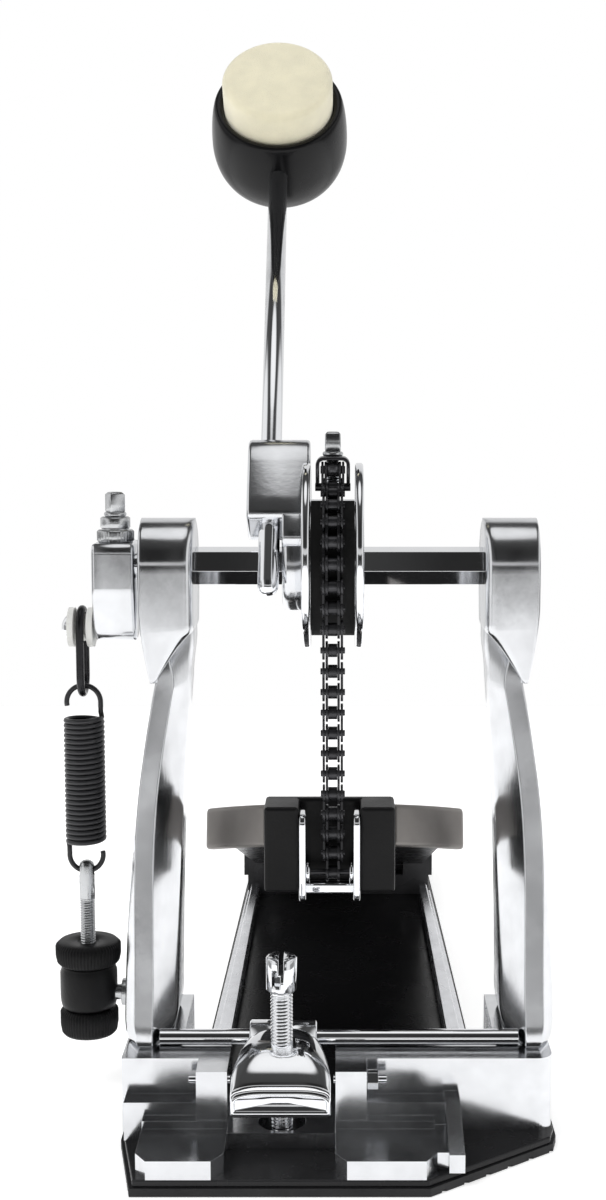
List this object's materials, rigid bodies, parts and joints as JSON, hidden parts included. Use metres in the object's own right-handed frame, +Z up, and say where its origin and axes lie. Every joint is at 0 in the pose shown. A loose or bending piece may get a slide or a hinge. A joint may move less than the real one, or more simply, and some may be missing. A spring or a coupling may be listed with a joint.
{
  "type": "bass drum pedal",
  "caption": "Chain-drive bass drum pedal: sprung beater on a hexagonal axle between two posts, hinged footboard and a clamp for the drum's hoop.",
  "frame": {"origin": "on the floor under the middle of the axle, midway between the two posts", "axes": "+X across the pedal to its right as the drum sees it, -Y towards the drum's hoop, +Y towards the heel, +Z up"},
  "size_m": [0.1889, 0.403, 0.4196],
  "materials": {
    "rubber_black": "matte",
    "painted_black": "satin",
    "rail_aluminium": "polished",
    "cast_polished": "polished casting",
    "chrome_plate": "polished",
    "steel_zinc": "zinc plated",
    "bearing_steel": "ground",
    "black_steel": "black oxide",
    "lining_black": "matte",
    "nylon_white": "matte",
    "plastic_black": "matte",
    "shell_black": "satin gloss",
    "felt_cream": "felt",
    "lip_satin": "satin",
    "spring_black": "black"
  },
  "bodies": {
    "frame": {"rubber_mat": "rubber_black", "base_plate": "painted_black", "side_rail_left": "rail_aluminium", "side_rail_right": "rail_aluminium", "frame_casting": "cast_polished", "post_left": "cast_polished", "post_right": "cast_polished", "post_bolts": "steel_zinc", "pivot_rod": "chrome_plate", "guide_screws": "chrome_plate", "guide_nut": "chrome_plate", "bearing_outer_rings": "bearing_steel", "heel_plate": "painted_black", "heel_screws": "black_steel", "hinge_pin": "steel_zinc", "anchor_bolt": "steel_zinc"},
    "claw": {"clamp_claw": "chrome_plate", "claw_pad": "rubber_black"},
    "clamp_screw": {"clamp_bolt": "chrome_plate"},
    "axle": {"hex_axle": "chrome_plate", "bearing_inner_rings": "bearing_steel", "cam_flange_left": "chrome_plate", "cam_flange_right": "chrome_plate", "cam_drum": "cast_polished", "cam_lining": "lining_black", "chain_saddle": "black_steel", "saddle_screw": "steel_zinc", "chain_anchor_pin": "black_steel", "wrap_plates": "black_steel", "wrap_pins": "black_steel", "beater_hub": "cast_polished", "hub_screw": "steel_zinc", "spring_rocker": "cast_polished", "rocker_collar": "steel_zinc", "rocker_screw": "steel_zinc", "roller_screw": "chrome_plate"},
    "ball_sets": {"bearing_balls": "bearing_steel"},
    "link": {"spring_roller": "nylon_white", "spring_link": "black_steel"},
    "spring_top": {"spring_upper_hook": "spring_black"},
    "anchor": {"spring_coil": "spring_black", "spring_lower_hook": "spring_black", "tension_rod": "steel_zinc", "anchor_body": "plastic_black"},
    "lock_knob": {"upper_knob": "plastic_black"},
    "tension_knob": {"lower_knob": "plastic_black"},
    "beater": {"beater_rod": "chrome_plate", "beater_housing": "shell_black", "beater_felt": "felt_cream"},
    "board": {"footboard": "painted_black", "toe_lip": "lip_satin", "toe_block": "plastic_black", "chain_bracket": "chrome_plate", "bracket_pin": "black_steel"},
    "chain_span": {"span_plates": "black_steel", "span_pins": "black_steel"},
    "chain_1": {"chain_link_1": "black_steel"},
    "chain_2": {"chain_link_2": "black_steel"},
    "chain_3": {"chain_link_3": "black_steel"}
  },
  "joints": [
    {"name": "beater_swing", "type": "hinge", "parent": "frame", "child": "axle", "pos_m": [0, 0, 0.205], "axis": [1, 0, 0], "range_deg": [0, 45], "stiffness_Nm_per_rad": 0.4, "springref_deg": -34.38},
    {"name": "ball_roll", "type": "hinge", "parent": "frame", "child": "ball_sets", "pos_m": [0, 0, 0.205], "axis": [1, 0, 0], "range_deg": [-1, 20]},
    {"name": "claw_pivot", "type": "hinge", "parent": "frame", "child": "claw", "pos_m": [-0.0203, -0.039, 0.0355], "axis": [1, 0, 0], "range_deg": [-7, 7]},
    {"name": "clamp_screw_turn", "type": "hinge", "parent": "claw", "child": "clamp_screw", "pos_m": [-0.0203, -0.057, 0.03], "axis": [0, 0, 1], "range_deg": [-540, 540]},
    {"name": "footboard_hinge", "type": "hinge", "parent": "frame", "child": "board", "pos_m": [0, 0.24, 0.022], "axis": [1, 0, 0], "range_deg": [-0.2, 5.8]},
    {"name": "chain_swing", "type": "hinge", "parent": "board", "child": "chain_span", "pos_m": [0, -0.012, 0.08967], "axis": [1, 0, 0], "range_deg": [-11, 0.5]},
    {"name": "chain_3_bend", "type": "hinge", "parent": "axle", "child": "chain_3", "pos_m": [0, -0.02398, 0.22302], "axis": [1, 0, 0], "range_deg": [-3, 0.5]},
    {"name": "chain_2_bend", "type": "hinge", "parent": "chain_3", "child": "chain_2", "pos_m": [0, -0.02789, 0.21604], "axis": [1, 0, 0], "range_deg": [-12.5, 0.5]},
    {"name": "chain_1_bend", "type": "hinge", "parent": "chain_2", "child": "chain_1", "pos_m": [0, -0.02982, 0.20828], "axis": [1, 0, 0], "range_deg": [-18, 0.5]},
    {"name": "spring_swing", "type": "hinge", "parent": "frame", "child": "anchor", "pos_m": [-0.0973, 0, 0.0383], "axis": [1, 0, 0], "range_deg": [-7, 0.5]},
    {"name": "spring_stretch", "type": "slide", "parent": "anchor", "child": "spring_top", "axis": [0, 0, 1], "range_m": [0, 0.009], "deforming": ["spring_coil"]},
    {"name": "link_swing", "type": "hinge", "parent": "axle", "child": "link", "pos_m": [-0.0973, 0, 0.1816], "axis": [1, 0, 0], "range_deg": [-52, 0.5]},
    {"name": "lock_knob_turn", "type": "hinge", "parent": "anchor", "child": "lock_knob", "pos_m": [-0.0973, 0, 0.055], "axis": [0, 0, 1], "continuous": true},
    {"name": "tension_knob_turn", "type": "hinge", "parent": "anchor", "child": "tension_knob", "pos_m": [-0.0973, 0, 0.027], "axis": [0, 0, 1], "continuous": true},
    {"name": "beater_height", "type": "slide", "parent": "axle", "child": "beater", "axis": [0, 0.6018, 0.7986], "range_m": [-0.03, 0.02]}
  ],
  "couplings": [
    {"joint": "ball_roll", "follows": "beater_swing", "ratio": 0.416},
    {"joint": "claw_pivot", "follows": "clamp_screw_turn", "ratio": -0.01105},
    {"joint": "footboard_hinge", "follows": "beater_swing", "ratio": 0.12157},
    {"joint": "chain_swing", "follows": "beater_swing", "ratio": -0.2301},
    {"joint": "chain_3_bend", "follows": "beater_swing", "ratio": -0.0569},
    {"joint": "chain_2_bend", "follows": "beater_swing", "ratio": -0.2681},
    {"joint": "chain_1_bend", "follows": "beater_swing", "ratio": -0.3897},
    {"joint": "spring_swing", "follows": "beater_swing", "ratio": -0.14},
    {"joint": "spring_stretch", "follows": "beater_swing", "m_per_rad": 0.0102},
    {"joint": "link_swing", "follows": "beater_swing", "ratio": -1.14}
  ]
}
